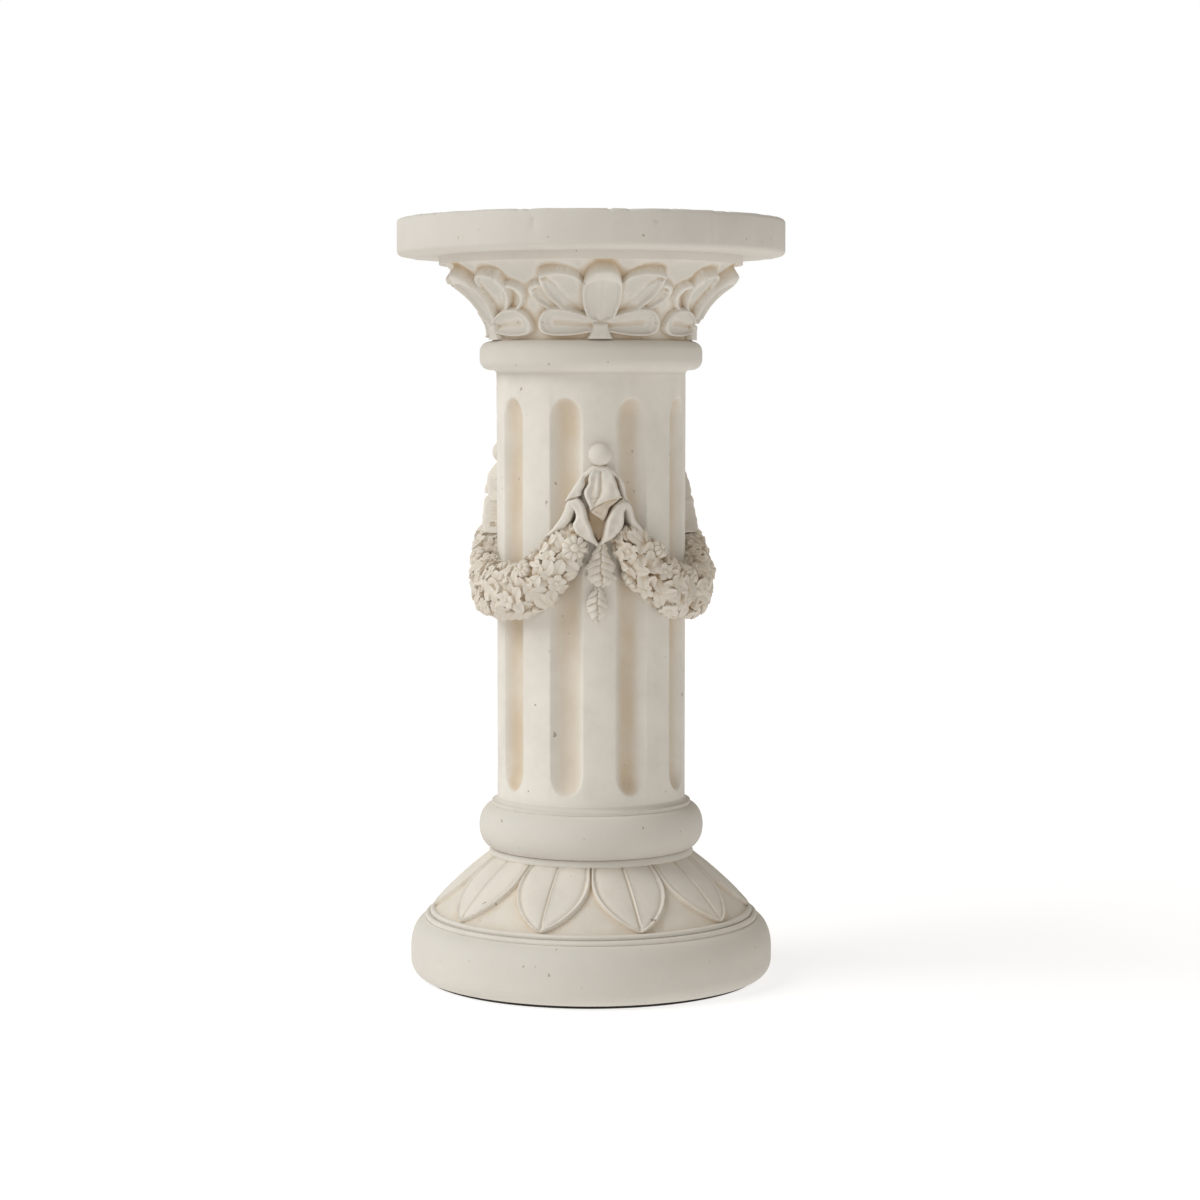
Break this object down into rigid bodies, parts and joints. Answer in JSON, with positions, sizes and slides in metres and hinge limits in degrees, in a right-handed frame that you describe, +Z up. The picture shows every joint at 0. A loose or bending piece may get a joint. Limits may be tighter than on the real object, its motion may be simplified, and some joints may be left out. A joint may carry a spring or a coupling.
{
  "type": "pedestal column",
  "caption": "Cast pedestal column with a round top slab, lotus capital, fluted shaft hung with flower swags, and a spreading leaf-carved round base.",
  "frame": {"origin": "on the floor, under the middle of the base", "axes": "+Z up the column, -Y towards the swag knot at the front, +X to the right of it"},
  "size_m": [0.3874, 0.3874, 0.76],
  "materials": {
    "cast_stone": "matte off-white cast stone with a thin tan wash left in the flutes and the hollows of the carving",
    "pad": "matte near-black pad"
  },
  "bodies": {
    "root": {"pedestal_column": "cast_stone", "base_pad": "pad"}
  },
  "joints": []
}
